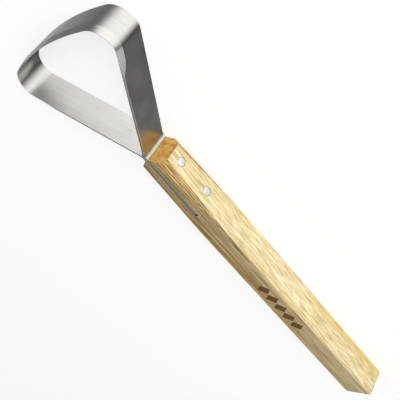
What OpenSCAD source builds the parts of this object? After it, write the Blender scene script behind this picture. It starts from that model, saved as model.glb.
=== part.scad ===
// Loop trimming tool for clay: a hardwood handle, one bent steel band and two through rivets.
// The tool lies on one narrow face of the handle, with the loop towards +X and the ground
// cutting edge up. The origin is at the middle of the whole tool's length and breadth, on the
// face that it rests on. All lengths are in millimetres.

/* [Handle] */
// Length of the handle, from butt to head
handle_l = 228; // [180:1:240]
// Breadth of the handle across the kerf
handle_w = 20.8; // [18:0.1:26]
// How far the outer faces fall back from the kerf at the head
head_fall = 5; // [1:0.5:8]
// Radius of the long edges
edge_r = 1.4; // [0.5:0.1:2.5]
// Size of the long edges' bevels at the head
head_bevel = 4; // [2:0.5:5]
// Length over which those bevels run out
head_bevel_run = 80; // [40:5:120]
// Radius of the butt's corners
butt_r = 4; // [2:0.5:7]

/* [Kerf] */
// Width of the saw kerf in the head
kerf_w = 2.6; // [2.6:0.1:3]
// Depth of the saw kerf
kerf_l = 44.5; // [40:0.5:60]

/* [Rivets] */
// Diameter of a rivet
rivet_d = 5; // [3:0.5:6]
// Distance from the head to the first rivet
rivet_x = 12.5; // [10:0.5:16]
// Distance between the two rivets
rivet_pitch = 23; // [18:0.5:24]

/* [Band] */
// Width of the steel band, flush with both narrow faces of the handle
band_w = 19; // [12:0.5:25]
// Thickness of the steel band
band_t = 1.2; // [0.8:0.1:1.2]
// Length of each tail inside the kerf
tail_l = 43; // [38:0.5:44]
// Hairline gap between the two tails
tail_gap = 0.2; // [0.1:0.1:0.2]
// Distance from the head to the start of the neck bends
neck_x = 1.4; // [1:0.1:4]
// Middle radius of the neck bends
neck_r = 4.1; // [3:0.1:8]
// Half angle between the two legs
leg_angle = 37.4; // [30:0.2:42]
// Length of the straight part of a leg
leg_l = 69.7; // [60:0.1:72]
// Middle radius of the corner next to the leg
corner_leg_r = 7.6; // [6:0.2:10]
// Angle that this tight part of the corner turns
corner_leg_turn = 43.3; // [35:0.1:50]
// Middle radius of the corner next to the front
corner_front_r = 12.5; // [11:0.5:16]
// Middle radius of the bowed front
front_r = 181; // [140:1:240]

/* [Cutting edge] */
// Height of the ground bevel on the outer face
bevel_h = 4; // [2:0.5:5]
// Thickness left at the cutting edge
edge_t = 0.2; // [0.1:0.1:0.4]
// Length of each leg that has the full bevel
leg_bevel_l = 4; // [2:0.5:8]
// Length over which the bevel then runs out
runout_l = 11; // [6:0.5:16]

/* [Hidden] */
$fn = 96;

over = 1;
half_w = handle_w / 2;
half_t = band_t / 2;
tail_y = tail_gap / 2 + half_t;
wood = [0.93, 0.83, 0.58];
steel = [0.62, 0.62, 0.60];
bright = [0.92, 0.92, 0.91];

// A unit vector at an angle in the XY plane
function unit(a) = [cos(a), sin(a)];

// Middle line of the +Y half of the band, with its centres, corners and turning angles
leg_out = unit(90 + leg_angle);
neck_c = [neck_x, tail_y + neck_r];
leg_start = neck_c - neck_r * leg_out;
leg_end = leg_start + leg_l * unit(leg_angle);
corner_leg_c = leg_end - corner_leg_r * leg_out;
mid_angle = 90 + leg_angle - corner_leg_turn;
corner_front_c = corner_leg_c + (corner_leg_r - corner_front_r) * unit(mid_angle);
front_c_x = corner_front_c.x - sqrt(pow(front_r - corner_front_r, 2) - pow(corner_front_c.y, 2));
front_angle = atan2(corner_front_c.y, corner_front_c.x - front_c_x);

// Puts the middle of the whole length on the origin
reach = front_c_x + front_r + half_t;
head_x = (handle_l - reach) / 2;

// Depth that the bevel takes off the outer face, and the part of it that every edge is broken by
bevel_d = band_t - edge_t;
deburr = 0.05;

// Both halves of something that is symmetrical about the XZ plane
module both_halves() {
    children();
    mirror([0, 1, 0]) children();
}

// A station on the band's middle line: its place, the way its outer face looks, and how much of
// the full bevel is ground there
function station(place, outward, ground) = [place, outward, max(ground, deburr)];

// Stations round one bend, from number first to its end, one every few degrees. side is 1 where
// the outer face looks away from the centre c, and -1 where it looks at it
function bend(c, r, from, to, side, ground, first, step) =
    let (n = ceil(abs(to - from) / step))
    [for (i = [first : n])
        let (out = unit(from + (to - from) * i / n))
        station(c + r * out, side * out, ground)];

// Stations along the grinding wheel's run-out on the leg, which fades as the wheel leaves it
function runout(n) = [for (i = [0 : n])
    station(leg_end - (leg_bevel_l + runout_l * (1 - i / n)) * unit(leg_angle), leg_out,
        1 - pow(1 - i / n, 2))];

// The +Y half of the band, from the end of its tail to the middle of the front
half_band = concat(
    [station([-tail_l, tail_y], [0, 1], 0)],
    bend(neck_c, neck_r, -90, -90 + leg_angle, -1, 0, 0, 5),
    runout(8),
    bend(corner_leg_c, corner_leg_r, 90 + leg_angle, mid_angle, 1, 1, 0, 3),
    bend(corner_front_c, corner_front_r, mid_angle, front_angle, 1, 1, 1, 3),
    bend([front_c_x, 0], front_r, front_angle, 0, 1, 1, 1, 0.8)
);

// The whole band, with the -Y half as the mirror image of the +Y half
band = concat(half_band, [for (i = [len(half_band) - 2 : -1 : 0])
    let (s = half_band[i])
    station([s[0].x, -s[0].y], [s[1].x, -s[1].y], s[2])]);

// A corner of the band's section at station s, out from the middle line and at height z
function section_corner(s, out, z) =
    let (at = s[0] + out * s[1])
    [at.x, at.y, z];

// The section at station s: five corners, from the inner face round by the rest side
function section(s) = [
    section_corner(s, -half_t, 0),
    section_corner(s, half_t, 0),
    section_corner(s, half_t, band_w - bevel_h * s[2]),
    section_corner(s, half_t - bevel_d * s[2], band_w),
    section_corner(s, -half_t, band_w)
];

// The bent strip: one section at each station, with flat ends on the two tails
module strip() {
    n = 5;
    last = (len(band) - 1) * n;
    walls = [for (i = [0 : len(band) - 2], j = [0 : n - 1])
        let (a = i * n + j, b = i * n + (j + 1) % n)
        each [[a, b, b + n], [a, b + n, a + n]]];
    polyhedron([for (s = band) each section(s)],
        concat(walls, [[4, 3, 2, 1, 0]], [[for (j = [0 : n - 1]) last + j]]), convexity = 8);
}

// A rivet's bore or shank, across the kerf
module across(x, d, l) {
    translate([x, l / 2, band_w / 2]) rotate([90, 0, 0]) cylinder(h = l, d = d);
}

module blade_loop() color(steel) translate([head_x, 0, 0]) difference() {
    strip();
    across(-rivet_x, rivet_d, handle_w);
    across(-rivet_x - rivet_pitch, rivet_d, handle_w);
}

// Outline of the handle seen along the cutting edge
module handle_plan() {
    polygon([
        [0, -kerf_w / 2],
        [0, kerf_w / 2],
        [-head_fall, half_w],
        [-handle_l + butt_r, half_w],
        [-handle_l, half_w - butt_r],
        [-handle_l, -half_w + butt_r],
        [-handle_l + butt_r, -half_w],
        [-head_fall, -half_w]
    ]);
    for (side = [-1, 1]) {
        translate([-handle_l + butt_r, side * (half_w - butt_r)]) circle(r = butt_r);
    }
}

// Outline of the handle seen across the kerf
module handle_side() {
    translate([-handle_l + butt_r, 0]) square([handle_l - butt_r + over, band_w]);
    translate([-handle_l, butt_r]) square([2 * butt_r, band_w - 2 * butt_r]);
    for (z = [butt_r, band_w - butt_r]) {
        translate([-handle_l + butt_r, z]) circle(r = butt_r);
    }
}

// Section of the handle
module handle_section() {
    translate([-half_w, edge_r]) square([handle_w, band_w - 2 * edge_r]);
    translate([-half_w + edge_r, 0]) square([handle_w - 2 * edge_r, band_w]);
    for (side = [-1, 1], z = [edge_r, band_w - edge_r]) {
        translate([side * (half_w - edge_r), z]) circle(r = edge_r);
    }
}

// One long edge's bevel, deepest at the head: side and up are -1 or 1
module edge_bevel(side, up) {
    drop = atan(head_bevel / sqrt(2) / head_bevel_run);
    size = 30;
    translate([-head_bevel_run, side * half_w, band_w / 2 + up * band_w / 2])
        rotate([up > 0 ? -45 * side : -135 * side, 0, 0])
            rotate([0, drop, 0])
                translate([0, -size / 2, 0]) cube([head_bevel_run + size, size, size]);
}

module handle() color(wood) translate([head_x, 0, 0]) difference() {
    intersection() {
        linear_extrude(band_w) handle_plan();
        translate([0, half_w, 0]) rotate([90, 0, 0]) linear_extrude(handle_w) handle_side();
        translate([-handle_l - over, 0, 0])
            rotate([90, 0, 90]) linear_extrude(handle_l + 2 * over) handle_section();
    }
    for (side = [-1, 1], up = [-1, 1]) edge_bevel(side, up);
    translate([-kerf_l, -kerf_w / 2, -over]) cube([kerf_l + over, kerf_w, band_w + 2 * over]);
    across(-rivet_x, rivet_d, handle_w + 2 * over);
    across(-rivet_x - rivet_pitch, rivet_d, handle_w + 2 * over);
}

module rivet(x) color(bright) translate([head_x, 0, 0]) across(-x, rivet_d, handle_w);

module head_rivet() rivet(rivet_x);
module rear_rivet() rivet(rivet_x + rivet_pitch);

handle();
blade_loop();
head_rivet();
rear_rivet();
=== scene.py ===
"""The looks of a loop trimming tool for clay: hardwood handle, bent steel band, two rivets.

The tool lies on one narrow face of the handle, with the loop towards +X and the ground
cutting edge up. Lengths below are written in millimetres and turned to metres by MM.
"""

import math

import bmesh
import bpy
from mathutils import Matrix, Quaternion, Vector


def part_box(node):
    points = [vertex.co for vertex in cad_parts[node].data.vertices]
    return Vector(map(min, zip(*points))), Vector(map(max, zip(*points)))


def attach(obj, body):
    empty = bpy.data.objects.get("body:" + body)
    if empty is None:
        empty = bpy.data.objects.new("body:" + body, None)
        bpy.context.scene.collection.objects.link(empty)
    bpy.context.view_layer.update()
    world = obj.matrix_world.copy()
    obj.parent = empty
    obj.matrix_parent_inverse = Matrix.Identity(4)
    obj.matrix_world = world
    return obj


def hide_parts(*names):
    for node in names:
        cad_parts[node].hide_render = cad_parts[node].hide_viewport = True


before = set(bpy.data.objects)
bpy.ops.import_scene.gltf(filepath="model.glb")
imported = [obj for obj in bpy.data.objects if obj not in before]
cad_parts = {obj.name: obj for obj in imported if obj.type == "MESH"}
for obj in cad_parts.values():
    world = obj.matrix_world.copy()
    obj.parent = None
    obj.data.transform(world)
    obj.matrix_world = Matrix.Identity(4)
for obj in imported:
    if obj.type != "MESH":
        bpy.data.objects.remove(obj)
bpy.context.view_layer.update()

MM = 0.001
ROOT = "root"
# Points nearer than this are one point, and faces nearer than this lie in one plane
SAME_POINT = 0.001 * MM
SAME_PLACE = 0.01 * MM

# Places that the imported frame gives
handle_low, handle_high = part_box("handle")
rivet_boxes = {name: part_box(name) for name in ("head_rivet", "rear_rivet")}
rear_shift = rivet_boxes["rear_rivet"][0] - rivet_boxes["head_rivet"][0]
head_x = handle_high.x
half_width = handle_high.y
top = handle_high.z

# Handle: kerf, fall of the pointed head, rounded and bevelled edges
KERF_WIDTH = 2.6 * MM
KERF_LENGTH = 44.5 * MM
HEAD_FALL = 5 * MM
LONG_EDGE = 1.4 * MM
HEAD_EDGE = 4 * MM
HEAD_EDGE_RUN = 80 * MM
BUTT_EDGE = 4 * MM
EASED = 0.3 * MM

# Burnt ornament, a row of plain lozenges on the top face
LOZENGES = 5
ORNAMENT_START = head_x - 153 * MM
LOZENGE_PITCH = 9.2 * MM
LOZENGE_HALF_LENGTH = 4.1 * MM
LOZENGE_HALF_WIDTH = 5.2 * MM
BURN_DEPTH = 0.2 * MM

# Rivets: the play that shows as a ring, and the dome's rings as breadths and rises
RIVET_PLAY = 0.05 * MM
RIVET_DOME = ((0.45 * MM, 0.04 * MM), (0.6 * MM, 0.025 * MM), (0.7 * MM, 0.015 * MM))

# Band: its broken edges, and how far its ground bevel leans back
BAND_DEBURR = 0.06 * MM
FACET_TILT = math.atan(1 / 4)
TILT_PLAY = 0.03

# Camera, round the middle of the tool's head
VIEW_AIM = Vector((head_x - 41.1 * MM, 1.2 * MM, top / 2))
VIEW_DISTANCE = 366.8 * MM
VIEW_AZIMUTH = math.radians(28.26)
VIEW_ELEVATION = math.radians(28.84)
VIEW_ROLL = math.radians(-146.29)
VIEW_LENS = 57.66


def colour(hex_code):
    """An sRGB hex colour as linear RGBA."""
    parts = [int(hex_code[i : i + 2], 16) / 255 for i in (1, 3, 5)]
    linear = [p / 12.92 if p <= 0.04045 else ((p + 0.055) / 1.055) ** 2.4 for p in parts]
    return (*linear, 1.0)


def add(tree, kind, inputs=None, out=0, **settings):
    """Adds a node with its settings, and its inputs as sockets to link from or fixed values.
    Gives one of its outputs, or all of them where out is None."""
    made = tree.nodes.new("ShaderNode" + kind)
    for name, value in settings.items():
        setattr(made, name, value)
    for name, value in (inputs or {}).items():
        if isinstance(value, bpy.types.NodeSocket):
            tree.links.new(value, made.inputs[name])
        else:
            made.inputs[name].default_value = value
    return made.outputs if out is None else made.outputs[out]


# ---------------------------------------------------------------- modelling


def deselect():
    """Lets go of everything, in object mode."""
    if bpy.context.object and bpy.context.object.mode != "OBJECT":
        bpy.ops.object.mode_set(mode="OBJECT")
    bpy.ops.object.select_all(action="DESELECT")


def hold(piece):
    """Makes one piece the only one that an operator acts on."""
    deselect()
    piece.select_set(True)
    bpy.context.view_layer.objects.active = piece


def new_block(name, low, high):
    """A block between two corners, its place in its mesh."""
    deselect()
    bpy.ops.mesh.primitive_cube_add(size=1, location=(low + high) / 2, scale=high - low)
    block = bpy.context.object
    block.name = name
    bpy.ops.object.transform_apply(location=True, rotation=True, scale=True)
    return block


def new_rod(name, middle, radius, length):
    """A rod across the handle, its place in its mesh."""
    deselect()
    bpy.ops.mesh.primitive_cylinder_add(
        vertices=48,
        radius=radius,
        depth=length,
        location=middle,
        rotation=(math.pi / 2, 0, 0),
    )
    rod = bpy.context.object
    rod.name = name
    bpy.ops.object.transform_apply(location=True, rotation=True, scale=True)
    return rod


def copy_of(piece, name, shift):
    """A copy with its own mesh, moved by a vector, its place in its mesh."""
    hold(piece)
    bpy.ops.object.duplicate()
    copy = bpy.context.object
    copy.name = name
    copy.location = shift
    bpy.ops.object.transform_apply(location=True, rotation=True, scale=True)
    return copy


def pick(piece, faces=None, edges=None):
    """Selects, in edit mode, the faces or edges that pass a test, and nothing else."""
    bpy.ops.mesh.select_mode(type="FACE" if faces else "EDGE")
    bpy.ops.mesh.select_all(action="DESELECT")
    mesh = bmesh.from_edit_mesh(piece.data)
    for part in mesh.faces if faces else mesh.edges:
        if (faces or edges)(part):
            part.select_set(True)
    mesh.select_flush_mode()
    bmesh.update_edit_mesh(piece.data)


def cut_off(point, normal):
    """Cuts the held piece by a plane and takes away what lies beyond it."""
    bpy.ops.mesh.select_all(action="SELECT")
    bpy.ops.mesh.bisect(
        plane_co=point, plane_no=normal, use_fill=True, clear_outer=True, threshold=SAME_POINT
    )


def cut_out(piece, tools):
    """Takes the shape of each tool out of a piece, and removes the tools."""
    for tool in tools:
        hold(piece)
        saw = piece.modifiers.new("cut", "BOOLEAN")
        saw.operation = "DIFFERENCE"
        saw.solver = "EXACT"
        saw.object = tool
        bpy.ops.object.modifier_apply(modifier=saw.name)
        bpy.data.objects.remove(tool)


def smooth(piece, degrees):
    """Smooth shading with sharp edges past an angle."""
    hold(piece)
    bpy.ops.object.shade_smooth_by_angle(angle=math.radians(degrees))


def level_normals(piece):
    """Lets the large faces set the shading, so that flats stay flat beside their rounds."""
    level = piece.modifiers.new("level normals", "WEIGHTED_NORMAL")
    level.keep_sharp = True
    hold(piece)
    bpy.ops.object.modifier_apply(modifier=level.name)


def finish_piece(piece, node_name):
    """Puts a piece on the root body and hides the imported part that it stands for."""
    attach(piece, ROOT)
    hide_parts(node_name)


def on_long_edge(edge):
    """True for an edge at one of the handle's four long corners, or on its butt's mitres."""
    a, b = (v.co for v in edge.verts)
    if abs(a.x - b.x) < SAME_PLACE:
        return False
    in_butt = min(a.x, b.x) < handle_low.x + BUTT_EDGE - SAME_PLACE
    for p in (a, b):
        out = half_width - abs(p.y)
        up = top / 2 - abs(p.z - top / 2)
        if abs(out - up) > 0.02 * MM or (out > SAME_PLACE and not in_butt):
            return False
    return True


def on_sawn_edge(edge):
    """True for a sharp edge round the handle's head, or along the mouth of its kerf."""
    if edge.calc_face_angle(0) < math.radians(35):
        return False
    ends = [v.co for v in edge.verts]
    if min(p.x for p in ends) > head_x - HEAD_FALL - 0.05 * MM:
        return True
    return all(
        abs(abs(p.y) - KERF_WIDTH / 2) < SAME_PLACE and abs(p.z - top / 2) > top / 2 - SAME_PLACE
        for p in ends
    )


def make_handle():
    """The handle: a sawn bar, rounded off, its head pointed and bevelled, then kerfed,
    bored and stamped."""
    handle = new_block("handle_hardwood", handle_low, handle_high)
    bpy.ops.object.mode_set(mode="EDIT")
    pick(handle, edges=lambda e: all(v.co.x < handle_low.x + SAME_PLACE for v in e.verts))
    bpy.ops.mesh.bevel(offset=BUTT_EDGE, segments=8, affect="EDGES")
    pick(handle, edges=on_long_edge)
    bpy.ops.mesh.bevel(offset=LONG_EDGE, segments=6, affect="EDGES")
    run = half_width - KERF_WIDTH / 2
    drop = math.atan(HEAD_EDGE / math.sqrt(2) / HEAD_EDGE_RUN)
    for side in (-1, 1):
        slope = Vector((run, side * HEAD_FALL, 0)).normalized()
        cut_off((head_x, side * KERF_WIDTH / 2, 0), slope)
        for up in (-1, 1):
            corner = (head_x - HEAD_EDGE_RUN, side * half_width, top / 2 * (1 + up))
            plane = Vector((math.tan(drop) * math.sqrt(2), side, up)).normalized()
            cut_off(corner, plane)
    bpy.ops.mesh.select_all(action="SELECT")
    bpy.ops.mesh.normals_make_consistent(inside=False)
    bpy.ops.object.mode_set(mode="OBJECT")

    kerf_low = Vector((head_x - KERF_LENGTH, -KERF_WIDTH / 2, -MM))
    kerf_high = Vector((head_x + MM, KERF_WIDTH / 2, top + MM))
    saw = new_block("saw", kerf_low, kerf_high)
    low, high = rivet_boxes["head_rivet"]
    drill = new_rod("drill", (low + high) / 2, (high.x - low.x) / 2, high.y - low.y + 2 * MM)
    second_drill = copy_of(drill, "second_drill", rear_shift)
    deselect()
    bpy.ops.mesh.primitive_cylinder_add(
        vertices=4,
        radius=1,
        depth=2 * BURN_DEPTH,
        location=(ORNAMENT_START + LOZENGE_PITCH / 2, 0, top),
        scale=(LOZENGE_HALF_LENGTH, LOZENGE_HALF_WIDTH, 1),
    )
    stamp = bpy.context.object
    bpy.ops.object.transform_apply(location=True, rotation=True, scale=True)
    stamps = [stamp]
    for i in range(1, LOZENGES):
        stamps.append(copy_of(stamp, "stamp", Vector((i * LOZENGE_PITCH, 0, 0))))
    tools = [saw, drill, second_drill, *stamps]
    cut_out(handle, tools)

    hold(handle)
    bpy.ops.object.mode_set(mode="EDIT")
    pick(handle, edges=on_sawn_edge)
    bpy.ops.mesh.bevel(offset=EASED, segments=2, affect="EDGES", clamp_overlap=True)
    bpy.ops.object.mode_set(mode="OBJECT")
    smooth(handle, 20)
    level_normals(handle)
    return handle


def make_rivet():
    """The rivet nearer the head, its two ends peened to a low dome inside the wood's face."""
    low, high = rivet_boxes["head_rivet"]
    radius = (high.x - low.x) / 2 - RIVET_PLAY
    length = high.y - low.y - 2 * sum(rise for width, rise in RIVET_DOME)
    rivet = new_rod("head_rivet_peened", (low + high) / 2, radius, length)
    bpy.ops.object.mode_set(mode="EDIT")
    for side in (-1, 1):
        pick(rivet, faces=lambda f: f.normal.y * side > 0.9)
        for width, rise in RIVET_DOME:
            bpy.ops.mesh.inset(thickness=width, depth=rise)
    bpy.ops.object.mode_set(mode="OBJECT")
    smooth(rivet, 50)
    return rivet


def make_band():
    """The steel band: the bent strip with its raw edges broken."""
    deselect()
    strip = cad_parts["blade_loop"]
    strip.select_set(True)
    bpy.context.view_layer.objects.active = strip
    bpy.ops.object.duplicate()
    band = bpy.context.object
    band.parent = None
    band.name = "blade_loop_brushed"
    for key in [k for k in band.keys() if k.startswith("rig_")]:
        del band[key]
    bpy.ops.object.mode_set(mode="EDIT")
    bpy.ops.mesh.select_all(action="SELECT")
    bpy.ops.mesh.remove_doubles(threshold=SAME_POINT)
    bpy.ops.mesh.tris_convert_to_quads(face_threshold=0.02, shape_threshold=0.8)
    bpy.ops.object.mode_set(mode="OBJECT")
    deburr = band.modifiers.new("deburr", "BEVEL")
    deburr.limit_method = "ANGLE"
    deburr.angle_limit = math.radians(50)
    deburr.width = BAND_DEBURR
    deburr.segments = 2
    hold(band)
    bpy.ops.object.modifier_apply(modifier=deburr.name)
    smooth(band, 8)
    return band


# ---------------------------------------------------------------- materials


def new_material(name):
    """An empty material and its tree."""
    material = bpy.data.materials.new(name)
    material.use_nodes = True
    material.node_tree.nodes.clear()
    return material, material.node_tree


# Settings that many nodes share: a soft change between two limits, and a mix of colours
SOFT = {"interpolation_type": "SMOOTHSTEP"}
COLOURS = {"out": 2, "data_type": "RGBA"}


def pattern(tree, place, size, limits, strength=1.0, slope=0.0, detail=2.0, shift=0.0):
    """A soft pattern from 0 to its strength. Its marks have a size along X, Y and Z in
    millimetres, and slope down towards +X by some degrees."""
    laid = add(
        tree,
        "Mapping",
        {
            "Vector": place,
            "Location": (shift * MM, shift * MM, shift * MM),
            "Rotation": (0, math.radians(slope), 0),
            "Scale": [length * MM for length in size],
        },
        vector_type="TEXTURE",
    )
    noise = add(tree, "TexNoise", {"Vector": laid, "Scale": 1.0, "Detail": detail})
    return add(tree, "MapRange", {0: noise, 1: limits[0], 2: limits[1], 4: strength}, **SOFT)


def broad_grain(tree, place, x, z):
    """Broad faces: cream, with golden patches and long fine pores at a small slope."""
    slope = 3.0
    board = pattern(tree, place, (70, 3.5, 3.5), (0.32, 0.68), 1.0, slope, 3)
    golden = pattern(tree, place, (28, 5, 5), (0.5, 0.7), 0.5, slope, 2, 130)
    fibre = pattern(tree, place, (30, 0.7, 0.7), (0.3, 0.7), 0.45, slope, 3, 70)
    pore = pattern(tree, place, (11, 0.42, 0.42), (0.54, 0.62), 0.7, slope, 1, 30)
    vessel = pattern(tree, place, (16, 0.3, 0.3), (0.61, 0.66), 0.5, slope, 0, 160)
    wood = add(tree, "Mix", {0: board, 6: colour("#FAF1CE"), 7: colour("#F0DFAA")}, **COLOURS)
    wood = add(tree, "Mix", {0: golden, 6: wood, 7: colour("#E3C26C")}, **COLOURS)
    wood = add(tree, "Mix", {0: fibre, 6: wood, 7: colour("#D3B774")}, **COLOURS)
    wood = add(tree, "Mix", {0: pore, 6: wood, 7: colour("#AD8D48")}, **COLOURS)
    wood = add(tree, "Mix", {0: vessel, 6: wood, 7: colour("#8A6526")}, **COLOURS)
    lower = add(tree, "MapRange", {0: z, 1: top / 2, 2: 3 * MM, 4: 0.45}, **SOFT)
    to_butt = {0: x, 1: head_x - 120 * MM, 2: head_x - 160 * MM, 4: lower}
    deeper = add(tree, "MapRange", to_butt, **SOFT)
    return add(tree, "Mix", {0: deeper, 6: wood, 7: colour("#D8BA66")}, **COLOURS), pore


def narrow_grain_and_shade(tree, place, x, y, off_middle):
    """Narrow faces: tan, paler towards the butt, with long dark brown streaks that are
    strongest at the head. Their tan is partly the edge grain's own colour and partly painted
    shade, darker than the broad faces where less light falls; along the kerf's mouth is a
    painted highlight."""
    board = pattern(tree, place, (150, 1.8, 1.8), (0.3, 0.7), 1.0, 0.5, 3, 110)
    to_head = {0: x, 1: head_x - 170 * MM, 2: head_x - 30 * MM, 3: 0.45, 4: 0.85}
    to_head = add(tree, "MapRange", to_head, **SOFT)
    streak = pattern(tree, place, (34, 0.42, 0.42), (0.52, 0.61), to_head, 0.5, 1, 50)
    line = pattern(tree, place, (45, 0.32, 0.32), (0.57, 0.62), to_head, 0.5, 0, 170)
    wood = add(tree, "Mix", {0: board, 6: colour("#E8C98F"), 7: colour("#CBA360")}, **COLOURS)
    behind_head = {0: x, 1: head_x - 20 * MM, 2: head_x - 60 * MM, 4: 0.55}
    behind_head = add(tree, "MapRange", behind_head, **SOFT)
    near_side = add(tree, "MapRange", {0: y, 1: 5 * MM, 2: -6 * MM, 4: behind_head}, **SOFT)
    to_butt = {0: x, 1: head_x - 100 * MM, 2: handle_low.x + 20 * MM, 4: 0.6}
    to_butt = add(tree, "MapRange", to_butt, **SOFT)
    for paler in (near_side, to_butt):
        wood = add(tree, "Mix", {0: paler, 6: wood, 7: colour("#F8E6B4")}, **COLOURS)
    wood = add(tree, "Mix", {0: streak, 6: wood, 7: colour("#74541F")}, **COLOURS)
    wood = add(tree, "Mix", {0: line, 6: wood, 7: colour("#573A12")}, **COLOURS)
    # Painted highlight: a pale strip along each side of the kerf's mouth, where light catches its
    # edges
    kerf_end = head_x - KERF_LENGTH
    kerf_highlight_run = {0: x, 1: kerf_end - 2 * MM, 2: kerf_end + 2 * MM, 4: 0.35}
    kerf_highlight_run = add(tree, "MapRange", kerf_highlight_run, **SOFT)
    kerf_side = KERF_WIDTH / 2
    beside = {0: off_middle, 1: kerf_side + 0.4 * MM, 2: kerf_side + 1.4 * MM, 3: kerf_highlight_run, 4: 0.0}
    beside = add(tree, "MapRange", beside, **SOFT)
    return add(tree, "Mix", {0: beside, 6: wood, 7: colour("#E9D3A0")}, **COLOURS), streak


def end_grain(tree, place):
    """End grain: orange-brown, blotchy, with dark specks."""
    blotch = pattern(tree, place, (4, 4, 4), (0.35, 0.65), 1.0, 0, 3, 20)
    speck = pattern(tree, place, (1.1, 1.1, 1.1), (0.58, 0.72), 0.6, 0, 2, 90)
    wood = add(tree, "Mix", {0: blotch, 6: colour("#D8AD5C"), 7: colour("#B98238")}, **COLOURS)
    return add(tree, "Mix", {0: speck, 6: wood, 7: colour("#7A4A14")}, **COLOURS)


def scorched(tree, x, z, off_middle):
    """How far the wood is scorched by the ornament: 1 in its recesses, and a thin halo."""
    row_end = ORNAMENT_START + LOZENGES * LOZENGE_PITCH
    along = add(
        tree, "MapRange", {0: x, 1: ORNAMENT_START, 2: row_end, 4: LOZENGES}, clamp=False
    )
    in_row = {0: along, 1: LOZENGES / 2, 2: LOZENGES / 2}
    in_row = add(tree, "Math", in_row, operation="COMPARE")
    near_top = {0: z, 1: top - 3 * BURN_DEPTH, 2: top - 1.2 * BURN_DEPTH, 4: in_row}
    near_top = add(tree, "MapRange", near_top, **SOFT)
    # 0 in the middle of each lozenge and 1 along its sides
    from_gap = add(tree, "Math", {0: along, 1: 0.5}, operation="PINGPONG")
    steep = LOZENGE_PITCH / LOZENGE_HALF_LENGTH
    reach = {0: from_gap, 1: -steep, 2: steep / 2}
    reach = add(tree, "Math", reach, operation="MULTIPLY_ADD")
    reach = {0: off_middle, 1: 1 / LOZENGE_HALF_WIDTH, 2: reach}
    reach = add(tree, "Math", reach, operation="MULTIPLY_ADD")
    return add(tree, "MapRange", {0: reach, 1: 0.98, 2: 1.12, 3: near_top, 4: 0.0}, **SOFT)


def handle_hardwood():
    """Open-pored plantation hardwood, planed and sanded, with no varnish: a pale, nearly matt
    surface with fine dark pores on the broad faces, long brown streaks on the narrow ones
    and a blotchy orange-brown end grain."""
    material, tree = new_material("sanded_open_pored_hardwood")
    place = add(tree, "TexCoord", out="Object")
    facing = add(tree, "TexCoord", out="Normal")
    x, y, z = add(tree, "SeparateXYZ", {0: place}, out=None)
    face_x, _, face_z = add(tree, "SeparateXYZ", {0: facing}, out=None)
    off_middle = add(tree, "Math", {0: y}, operation="ABSOLUTE")

    broad, pore = broad_grain(tree, place, x, z)
    narrow, streak = narrow_grain_and_shade(tree, place, x, y, off_middle)
    # Narrow faces take a darker tan than the broad ones: partly their own edge grain, partly
    # painted shade standing in for the lesser light on them
    steep = add(tree, "Math", {0: face_z}, operation="ABSOLUTE")
    flat = add(tree, "MapRange", {0: steep, 1: 0.42, 2: 0.68}, **SOFT)
    wood = add(tree, "Mix", {0: flat, 6: broad, 7: narrow}, **COLOURS)
    endwise = add(tree, "Math", {0: face_x}, operation="ABSOLUTE")
    ends = add(tree, "MapRange", {0: endwise, 1: 0.55, 2: 0.8}, **SOFT)
    wood = add(tree, "Mix", {0: ends, 6: wood, 7: end_grain(tree, place)}, **COLOURS)

    # Wood darkened by filings in a thin ring round each rivet
    side_place = add(tree, "VectorMath", {0: place, 1: (1, 0, 1)}, operation="MULTIPLY")
    for low, high in rivet_boxes.values():
        centre = ((low.x + high.x) / 2, 0, (low.z + high.z) / 2)
        away = {0: side_place, 1: centre}
        away = add(tree, "VectorMath", away, out="Value", operation="DISTANCE")
        radius = (high.x - low.x) / 2
        ring = {0: away, 1: radius + 0.1 * MM, 2: radius + 0.6 * MM, 3: 0.7, 4: 0.0}
        ring = add(tree, "MapRange", ring, **SOFT)
        wood = add(tree, "Mix", {0: ring, 6: wood, 7: colour("#9A814E")}, **COLOURS)

    # Painted shade: the kerf's walls are painted near black, where shade falls deep in the slot
    kerf_end = head_x - KERF_LENGTH
    past_end = add(tree, "MapRange", {0: x, 1: kerf_end - 0.1 * MM, 2: kerf_end}, **SOFT)
    kerf_side = KERF_WIDTH / 2
    kerf_painted_shade = {0: off_middle, 1: kerf_side, 2: kerf_side + 0.08 * MM, 3: past_end, 4: 0.0}
    kerf_painted_shade = add(tree, "MapRange", kerf_painted_shade, **SOFT)
    wood = add(tree, "Mix", {0: kerf_painted_shade, 6: wood, 7: colour("#2A1D10")}, **COLOURS)

    char = add(tree, "Mix", {0: streak, 6: colour("#7A5526"), 7: colour("#4E3315")}, **COLOURS)
    scorch = scorched(tree, x, z, off_middle)
    wood = add(tree, "Mix", {0: scorch, 6: wood, 7: char}, **COLOURS)

    hollows = add(tree, "Math", {0: pore, 1: streak}, operation="ADD")
    relief = {"Height": hollows, "Distance": 0.06 * MM, "Strength": 0.5}
    surface = add(
        tree,
        "BsdfPrincipled",
        {
            "Base Color": wood,
            "Roughness": add(tree, "MapRange", {0: pore, 3: 0.52, 4: 0.64}),
            "IOR": 1.5,
            "Specular IOR Level": 0.35,
            "Normal": add(tree, "Bump", relief, invert=True),
        },
    )
    add(tree, "OutputMaterial", {"Surface": surface}, out=None)
    return material


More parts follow.
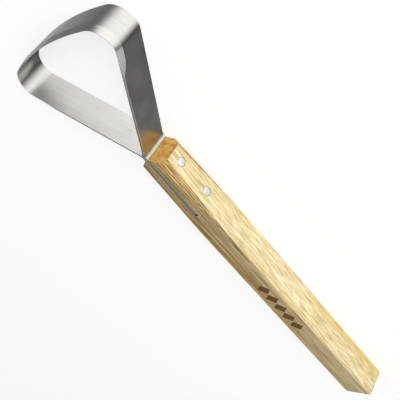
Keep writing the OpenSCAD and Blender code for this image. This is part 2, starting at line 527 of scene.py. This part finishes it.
def brushed_stainless():
    """Stainless strip, brushed along its length on a belt: soft streaks of light that run
    across the band where it bends, with fine lines along it."""
    material, tree = new_material("belt_brushed_stainless_steel")
    place = add(tree, "TexCoord", out="Object")
    # Real belt lines are about 0.05 mm apart; drawn at 0.4 mm, as fine as a picture can show
    lines = pattern(tree, place, (25, 25, 0.4), (0.3, 0.7), 1.0, 0, 3)
    cloud = pattern(tree, place, (14, 14, 14), (0.3, 0.7), 1.0, 0, 3, 40)
    tone = {0: lines, 6: colour("#BAB9B5"), 7: colour("#C3C2BE")}
    relief = {"Height": lines, "Distance": 0.004 * MM, "Strength": 0.15}
    surface = add(
        tree,
        "BsdfPrincipled",
        {
            "Base Color": add(tree, "Mix", tone, **COLOURS),
            "Metallic": 1.0,
            "Roughness": add(tree, "MapRange", {0: cloud, 3: 0.27, 4: 0.35}),
            "Anisotropic": 0.6,
            "Anisotropic Rotation": 0.25,
            "Normal": add(tree, "Bump", relief),
        },
    )
    add(tree, "OutputMaterial", {"Surface": surface}, out=None)
    return material


def ground_stainless():
    """The band's bevel, ground on a fine wheel: brighter and smoother than the brushed strip."""
    material, tree = new_material("fine_ground_stainless_steel")
    place = add(tree, "TexCoord", out="Object")
    cloud = pattern(tree, place, (10, 10, 10), (0.3, 0.7), 1.0, 0, 1, 10)
    tone = {0: cloud, 6: colour("#C2C1BD"), 7: colour("#C8C7C3")}
    surface = add(
        tree,
        "BsdfPrincipled",
        {
            "Base Color": add(tree, "Mix", tone, **COLOURS),
            "Metallic": 1.0,
            "Roughness": add(tree, "MapRange", {0: cloud, 3: 0.24, 4: 0.28}),
        },
    )
    add(tree, "OutputMaterial", {"Surface": surface}, out=None)
    return material


def peened_aluminium():
    """Soft aluminium rod, peened and then sanded with the wood: a pale satin disc with small
    dents and a slightly rough skin."""
    material, tree = new_material("peened_aluminium")
    place = add(tree, "TexCoord", out="Object")
    dents = pattern(tree, place, (0.9, 0.9, 0.9), (0.3, 0.7), 1.0, 0, 2, 60)
    tone = {0: dents, 6: colour("#CDCDD0"), 7: colour("#E0E0E0")}
    relief = {"Height": dents, "Distance": 0.05 * MM, "Strength": 0.4}
    surface = add(
        tree,
        "BsdfPrincipled",
        {
            "Base Color": add(tree, "Mix", tone, **COLOURS),
            "Metallic": 1.0,
            "Roughness": add(tree, "MapRange", {0: dents, 3: 0.34, 4: 0.45}),
            "Normal": add(tree, "Bump", relief),
        },
    )
    add(tree, "OutputMaterial", {"Surface": surface}, out=None)
    return material


# ---------------------------------------------------------------- studio


def make_camera():
    """The camera, turned about the line that it looks along."""
    back = Vector(
        (
            math.sin(VIEW_AZIMUTH) * math.cos(VIEW_ELEVATION),
            -math.cos(VIEW_AZIMUTH) * math.cos(VIEW_ELEVATION),
            math.sin(VIEW_ELEVATION),
        )
    )
    camera = bpy.data.objects.new("camera", bpy.data.cameras.new("camera"))
    bpy.context.scene.collection.objects.link(camera)
    camera.data.lens = VIEW_LENS
    camera.data.clip_start = 10 * MM
    camera.rotation_mode = "QUATERNION"
    level = (-back).to_track_quat("-Z", "Y")
    camera.rotation_quaternion = level @ Quaternion((0, 0, 1), VIEW_ROLL)
    camera.location = VIEW_AIM + back * VIEW_DISTANCE
    bpy.context.scene.camera = camera


def make_floor():
    """A plain pale floor, which polished faces don't mirror."""
    deselect()
    bpy.ops.mesh.primitive_plane_add(size=6, location=(0, 0, -0.05 * MM))
    floor = bpy.context.object
    floor.name = "floor"
    bpy.ops.object.transform_apply(location=True, rotation=True, scale=True)
    material, tree = new_material("matt_white_paper")
    surface = add(
        tree,
        "BsdfPrincipled",
        {
            "Base Color": colour("#CACAC8"),
            "Roughness": 0.9,
            "Specular IOR Level": 0.1,
            "Emission Color": colour("#FFFFFF"),
            "Emission Strength": 0.62,
        },
    )
    add(tree, "OutputMaterial", {"Surface": surface}, out=None)
    floor.data.materials.append(material)
    floor.visible_glossy = False


def compass(azimuth, elevation=0):
    """A unit vector from a compass direction and an elevation, in degrees."""
    a, e = math.radians(azimuth), math.radians(elevation)
    return Vector((math.cos(a) * math.cos(e), math.sin(a) * math.cos(e), math.sin(e)))


def soft_lamp(name, azimuth, elevation, distance, size, power):
    """A square soft box that looks at the tool from a compass direction."""
    lamp = bpy.data.objects.new(name, bpy.data.lights.new(name, "AREA"))
    bpy.context.scene.collection.objects.link(lamp)
    lamp.data.size = size
    lamp.data.energy = power
    towards = compass(azimuth, elevation)
    lamp.location = VIEW_AIM + towards * distance
    lamp.rotation_mode = "QUATERNION"
    lamp.rotation_quaternion = towards.to_track_quat("Z", "Y")
    lamp.visible_glossy = False


# Studio walls as the metal sees them. Upright ones: compass direction, how far from it the
# wall is full and where it ends, in degrees, and how bright it is
UPRIGHT_WALLS = (
    (-72, 15, 80, 1.66),
    (86, 4, 24, 0.42),
    (30, 40, 75, 0.17),
    (162, 8, 26, 0.11),
)
# Round ones: compass direction, elevation, and the same
ROUND_WALLS = (
    (190, 6, 12, 31, 1.2),
    (118, 30, 15, 50, 0.17),
)
WALL_SHADE = 0.05


def wall_light(tree, towards, middle, full, end, strength):
    """The light from one wall: full near its middle, and none past its end."""
    near = {0: towards, 1: middle}
    near = add(tree, "VectorMath", near, out="Value", operation="DOT_PRODUCT")
    core, edge = (math.cos(math.radians(angle)) for angle in (full, end))
    return add(tree, "MapRange", {0: near, 1: edge, 2: core, 4: strength}, **SOFT)


def make_room():
    """Even light for the matt surfaces, and bright and dark walls for the metal to mirror."""
    world = bpy.data.worlds.new("studio")
    bpy.context.scene.world = world
    world.use_nodes = True
    tree = world.node_tree
    tree.nodes.clear()
    towards = add(tree, "TexCoord", out="Generated")
    level = add(tree, "VectorMath", {0: towards, 1: (1, 1, 0)}, operation="MULTIPLY")
    level = add(tree, "VectorMath", {0: level}, operation="NORMALIZE")
    total = WALL_SHADE
    for azimuth, *rest in UPRIGHT_WALLS:
        light = wall_light(tree, level, compass(azimuth), *rest)
        total = add(tree, "Math", {0: light, 1: total}, operation="ADD")
    for azimuth, elevation, *rest in ROUND_WALLS:
        light = wall_light(tree, towards, compass(azimuth, elevation), *rest)
        total = add(tree, "Math", {0: light, 1: total}, operation="ADD")
    walls = add(tree, "Background", {"Color": colour("#FFFFFF"), "Strength": total})
    even = add(tree, "Background", {"Color": colour("#FFFFFF"), "Strength": 0.5})
    mirrored = add(tree, "LightPath", out="Is Glossy Ray")
    shown = add(tree, "MixShader", {0: mirrored, 1: even, 2: walls})
    add(tree, "OutputWorld", {"Surface": shown}, out=None)
    world.cycles.sampling_method = "NONE"
    soft_lamp("key", azimuth=-75, elevation=14, distance=0.9, size=0.7, power=5.0)


# ---------------------------------------------------------------- the tool

wood = handle_hardwood()
steel = brushed_stainless()
ground = ground_stainless()
aluminium = peened_aluminium()

handle_piece = make_handle()
handle_piece.data.materials.clear()
handle_piece.data.materials.append(wood)
finish_piece(handle_piece, "handle")

band_piece = make_band()
band_piece.data.materials.clear()
band_piece.data.materials.append(steel)
band_piece.data.materials.append(ground)
for face in band_piece.data.polygons:
    tilted = abs(face.normal.z - math.sin(FACET_TILT)) < TILT_PLAY
    face.material_index = 1 if tilted else 0
finish_piece(band_piece, "blade_loop")

head_rivet_piece = make_rivet()
rear_rivet_piece = copy_of(head_rivet_piece, "rear_rivet_peened", rear_shift)
for rivet_piece, node_name in ((head_rivet_piece, "head_rivet"), (rear_rivet_piece, "rear_rivet")):
    rivet_piece.data.materials.append(aluminium)
    finish_piece(rivet_piece, node_name)

make_camera()
make_floor()
make_room()
bpy.context.scene.view_settings.view_transform = "Standard"
